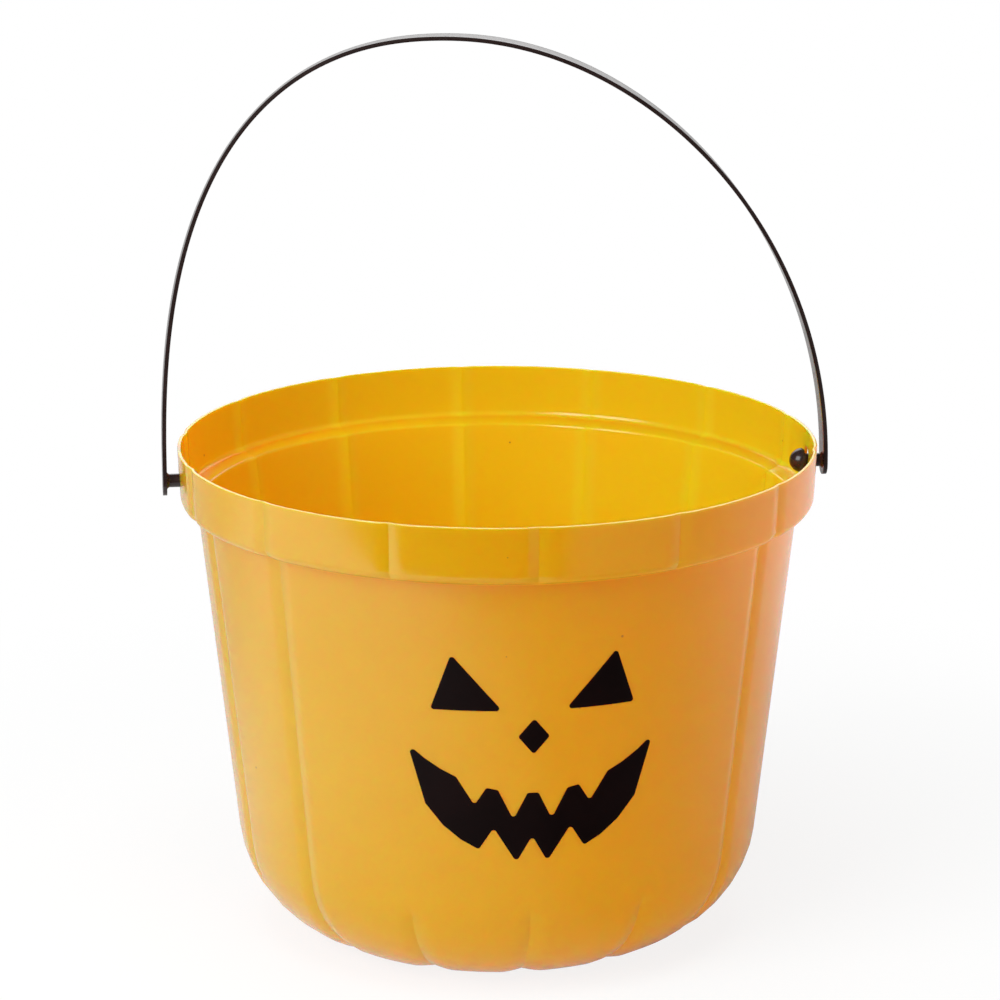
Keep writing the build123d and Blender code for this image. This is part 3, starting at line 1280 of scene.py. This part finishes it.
@dataclass
class Studio:
    """Pale table, soft lamps, white surround and the camera."""

    aim: Vector
    table_side: float = 1.6
    table_front: float = 0.3225
    table_colour: Colour = (0.88, 0.88, 0.88)
    # A faint glow of the table for soft rays: painted bounce light on the pail's lower part.
    table_painted_bounce: Colour = (0.11, 0.09, 0.09)
    table_glow_share: float = 0.85
    # From here to shade_far, apart from shadow_far, the values paint the table's reflection in shiny
    # plastic, with a painted shadow right of the pail.
    table_right_glow: float = 0.86
    table_back_glow: float = 0.75
    table_shade_share: float = 0.65
    shadow_far: Span = (0.152, 0.361)
    left_far: Span = (0.25, 0.42)
    front_across: Span = (-0.22, 0.05)
    back_depth: Span = (-0.02, 0.15)
    right_depth: Span = (-0.2, 0.05)
    right_across: Span = (0.05, 0.2)
    shade_across: Span = (0.0, 0.06)
    shade_far: Span = (0.18, 0.4)
    left_ambient: Colour = (0.26, 0.26, 0.26)
    right_ambient: Colour = (0.03, 0.02, 0.02)
    edge_ambient: Colour = (1.1, 1.2, 1.15)
    ambient_across: Span = (-0.1, 0.9)
    edge_across: Span = (0.65, 1.0)
    zenith_share: float = 0.25
    zenith_rise: Span = (0.25, 0.9)
    # left_glow, left_far_glow and front_glow also set the table's painted reflection.
    left_glow: float = 1.3
    left_far_glow: float = 1.7
    left_turn: float = 75.0
    left_cone: Span = (20.0, 55.0)
    front_glow: float = 0.38
    right_glow: float = 0.36
    right_turn: float = -42.0
    right_cone: Span = (15.0, 40.0)
    back_glow: float = 0.85
    back_turn: float = 180.0
    back_cone: Span = (15.0, 45.0)
    rim_glow: float = 2.6
    rim_low_glow: float = 1.2
    rim_rise: Span = (0.19, 0.27)
    rim_end_rise: Span = (0.6, 0.85)
    upper_glow: float = 0.1
    upper_rise: Span = (-0.02, 0.1)
    gap_turn: float = 22.0
    gap_cone: Span = (47.0, 49.0)
    gap_rise: Span = (-0.05, 0.05)
    gap_glow_share: float = 0.03
    camera_turn: float = 7.05
    camera_reach: float = 1.13104
    camera_height: float = 0.44661
    camera_pitch: float = 15.606
    nearest_seen: float = 0.05
    farthest_seen: float = 20.0
    focal_pixels: float = 3929.55
    centre_offset_pixels: float = 2.7

    def build_camera(self) -> None:
        """Sets the camera at the photograph's angle."""
        data = bpy.data.cameras.new("photo_camera")
        data.sensor_width = SENSOR_WIDTH
        data.lens = self.focal_pixels * SENSOR_WIDTH / IMAGE_SIDE
        data.shift_x = self.centre_offset_pixels / IMAGE_SIDE
        data.clip_start = self.nearest_seen
        data.clip_end = self.farthest_seen
        camera = bpy.data.objects.new("photo_camera", data)
        turn = math.radians(self.camera_turn)
        pitch = math.radians(self.camera_pitch)
        across = math.sin(turn)
        deep = math.cos(turn)
        camera.location = (-self.camera_reach * across, -self.camera_reach * deep, self.camera_height)
        look = Vector((across * math.cos(pitch), deep * math.cos(pitch), -math.sin(pitch)))
        camera.rotation_euler = look.to_track_quat("-Z", "Y").to_euler()
        bpy.context.scene.collection.objects.link(camera)
        bpy.context.scene.camera = camera

    def _painted_table_reflection(self, sheet: NodeSheet, place: Socket, far: Socket) -> Socket:
        """Painted reflection: how bright each part of the table shows in shiny plastic, with the pail's
        shadow painted in on its right.

        Args:
            sheet: The sheet to draw on.
            place: The place on the table.
            far: How far that place is from the pail's axis.

        Returns:
            The brightness.
        """
        turn = math.radians(self.camera_turn)
        across = sheet.add("ShaderNodeSeparateXYZ", {0: place}).outputs[0]
        depth = sheet.along(place, (math.sin(turn), math.cos(turn), 0.0))
        reflected_glow = sheet.ramp(far, self.left_far, (self.left_glow, self.left_far_glow))
        reflected_glow = sheet.mix(sheet.ramp(across, self.front_across), reflected_glow, self.front_glow)
        reflected_glow = sheet.mix(sheet.ramp(depth, self.back_depth), reflected_glow, self.table_back_glow)
        deep = sheet.ramp(depth, self.right_depth)
        beside = sheet.math("MULTIPLY", deep, sheet.ramp(across, self.right_across))
        reflected_glow = sheet.mix(beside, reflected_glow, self.table_right_glow)
        # Painted shadow: the reflected table darkens near the pail on its right.
        near = sheet.ramp(far, self.shade_far, FALLING)
        painted_shadow = sheet.math("MULTIPLY", sheet.ramp(across, self.shade_across), near)
        return sheet.math("MULTIPLY", reflected_glow, sheet.ramp(painted_shadow, RISING, (1.0, self.table_shade_share)))

    def table_top(self) -> bpy.types.Material:
        """Makes the table's matt top, a clean white to the eye that keeps the pail's soft shadow, with a
        painted reflection for shiny plastic and a painted bounce glow.

        Returns:
            The new material.
        """
        material = bpy.data.materials.new("pale_table_top")
        material.use_nodes = True
        material.cycles.emission_sampling = "NONE"
        sheet = NodeSheet(material.node_tree)
        rays = sheet.add("ShaderNodeLightPath").outputs
        place = sheet.add("ShaderNodeTexCoord").outputs["Object"]
        far = sheet.add("ShaderNodeVectorMath", {0: place}, operation="LENGTH").outputs["Value"]
        plain = sheet.add("ShaderNodeBsdfDiffuse", {"Color": opaque(self.table_colour)})
        # Painted bounce light: the table glows for soft rays.
        bounce = {"Color": opaque(self.table_painted_bounce), "Strength": rays["Is Diffuse Ray"]}
        lift = sheet.add("ShaderNodeEmission", bounce)
        matt = sheet.add("ShaderNodeAddShader", {0: plain.outputs[0], 1: lift.outputs[0]})
        # Painted reflection: the table glows for shiny rays only, graded like a lit table with a painted
        # shadow.
        mirrored = sheet.math("MULTIPLY", rays["Is Glossy Ray"], self._painted_table_reflection(sheet, place, far))
        glow = sheet.math("ADD", rays["Is Camera Ray"], mirrored)
        white = sheet.add("ShaderNodeEmission", {"Color": opaque(WHITE), "Strength": glow})
        fade = sheet.ramp(far, self.shadow_far, (self.table_glow_share, 1.0))
        share = sheet.math("MULTIPLY", rays["Is Camera Ray"], fade)
        share = sheet.math("ADD", share, rays["Is Glossy Ray"])
        mixed = sheet.add("ShaderNodeMixShader", {0: share, 1: matt.outputs[0], 2: white.outputs[0]})
        sheet.add("ShaderNodeOutputMaterial", {"Surface": mixed.outputs[0]})
        return material

    def build_table(self) -> None:
        """Lays the pale table, square to the camera."""
        deselect_all()
        bpy.ops.mesh.primitive_plane_add(size=self.table_side)
        table = bpy.context.object
        table.name = "pale_table"
        back = self.table_side / 2 - self.table_front
        bpy.ops.object.mode_set(mode="EDIT")
        bpy.ops.transform.translate(value=(0, back, 0))
        bpy.ops.object.mode_set(mode="OBJECT")
        table.rotation_euler = (0, 0, -math.radians(self.camera_turn))
        bpy.ops.object.transform_apply(location=False, rotation=True, scale=False)
        table.data.materials.append(self.table_top())

    def _toward(self, sheet: NodeSheet, level: Socket, turn: float, cone: Span) -> Socket:
        """Mask of the level directions near a heading.

        Args:
            sheet: The sheet to draw on.
            level: The direction looked along, made level.
            turn: The heading, in degrees from the camera's side towards its left.
            cone: Half angles, in degrees, that are wholly inside and just outside.

        Returns:
            The mask.
        """
        heading = math.radians(self.camera_turn + turn)
        facing = sheet.along(level, (-math.sin(heading), -math.cos(heading), 0.0))
        inner, outer = (math.cos(math.radians(half)) for half in cone)
        return sheet.ramp(facing, (outer, inner))

    def _glow(self, sheet: NodeSheet, way: Socket, up: Socket) -> Socket:
        """How bright the surround shows in shiny plastic, with a dark gap low at the front.

        Args:
            sheet: The sheet to draw on.
            way: The direction looked along.
            up: How far that direction rises.

        Returns:
            The brightness.
        """
        flat = sheet.add("ShaderNodeVectorMath", {0: way, 1: (1.0, 1.0, 0.0)}, operation="MULTIPLY")
        level = sheet.add("ShaderNodeVectorMath", {0: flat.outputs[0]}, operation="NORMALIZE").outputs[0]
        lit = self._toward(sheet, level, self.left_turn, self.left_cone)
        dim = self._toward(sheet, level, self.right_turn, self.right_cone)
        behind = self._toward(sheet, level, self.back_turn, self.back_cone)
        gap = self._toward(sheet, level, self.gap_turn, self.gap_cone)
        lifted = sheet.math("MULTIPLY", lit, self.left_glow - self.back_glow)
        lowered = sheet.math("MULTIPLY", dim, self.back_glow - self.right_glow)
        glow = sheet.math("ADD", self.back_glow, lifted)
        glow = sheet.math("SUBTRACT", glow, lowered)
        rim = sheet.ramp(up, self.rim_rise, (self.rim_low_glow, self.rim_glow))
        rim = sheet.math("MULTIPLY", rim, sheet.ramp(up, self.rim_end_rise, FALLING))
        upper = sheet.mix(behind, self.upper_glow, rim)
        glow = sheet.mix(sheet.ramp(up, self.upper_rise), glow, upper)
        dark = sheet.math("MULTIPLY", gap, sheet.ramp(up, self.gap_rise, FALLING))
        return sheet.math("MULTIPLY", glow, sheet.ramp(dark, RISING, (1.0, self.gap_glow_share)))

    def _ambient(self, sheet: NodeSheet, way: Socket) -> Socket:
        """Colour of the soft light from the surround, from the left to the right edge of the view.

        Args:
            sheet: The sheet to draw on.
            way: The direction looked along.

        Returns:
            The colour.
        """
        turn = math.radians(self.camera_turn)
        across = sheet.along(way, (math.cos(turn), -math.sin(turn), 0.0))
        shade = sheet.ramp(across, self.ambient_across)
        soft = sheet.blend(shade, opaque(self.left_ambient), opaque(self.right_ambient))
        return sheet.blend(sheet.ramp(across, self.edge_across), soft, opaque(self.edge_ambient))

    def build_surround(self) -> None:
        """Makes the surround: white to the eye, graded to shiny plastic, and soft light on the rest."""
        world = bpy.data.worlds.new("white_studio")
        world.use_nodes = True
        sheet = NodeSheet(world.node_tree)
        way = sheet.add("ShaderNodeTexCoord").outputs["Generated"]
        up = sheet.add("ShaderNodeSeparateXYZ", {0: way}).outputs[2]
        rays = sheet.add("ShaderNodeLightPath").outputs
        mirror = sheet.math("MAXIMUM", rays["Is Glossy Ray"], rays["Is Transmission Ray"])
        bright = sheet.math("MULTIPLY", mirror, self._glow(sheet, way, up))
        seen = sheet.math("MAXIMUM", rays["Is Camera Ray"], bright)
        clear = sheet.math("MAXIMUM", rays["Is Camera Ray"], mirror)
        tint = sheet.blend(clear, self._ambient(sheet, way), opaque(WHITE))
        overhead = sheet.ramp(up, self.zenith_rise, (1.0, self.zenith_share))
        soft = sheet.math("MULTIPLY", sheet.math("SUBTRACT", 1.0, clear), overhead)
        strength = sheet.math("ADD", seen, soft)
        sky = sheet.add("ShaderNodeBackground", {"Color": tint, "Strength": strength})
        sheet.add("ShaderNodeOutputWorld", {"Surface": sky.outputs[0]})
        bpy.context.scene.world = world

    def build(self) -> None:
        """Sets up the whole studio."""
        self.build_camera()
        self.build_table()
        self.build_surround()
        for lamp in LAMPS:
            lamp.build(self.aim)
        bpy.context.scene.view_settings.view_transform = "Standard"


def main() -> None:
    """Builds the pail, its handle, its face and the studio."""
    logging.basicConfig(level=logging.INFO, format="%(name)s: %(message)s")
    SurfaceEffects().build()
    _, pail_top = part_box("pail_body")
    _, handle_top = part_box("handle")
    pivot = frame["joints"][0]["pos_m"][2]
    pail = Pail(rim_radius=pail_top.x, height=pail_top.z)
    handle = Handle(pivot=pivot, half_span=handle_top.x - Handle.thickness / 2)
    pieces = [pail.build(), handle.build(), *FacePrints(pail).build()]
    for piece in pieces:
        log.info("%s: %d faces", piece.name, len(piece.data.polygons))
    Studio(aim=Vector((0, 0, pail.height / 2))).build()
    deselect_all()


if __name__ == "__main__":
    main()
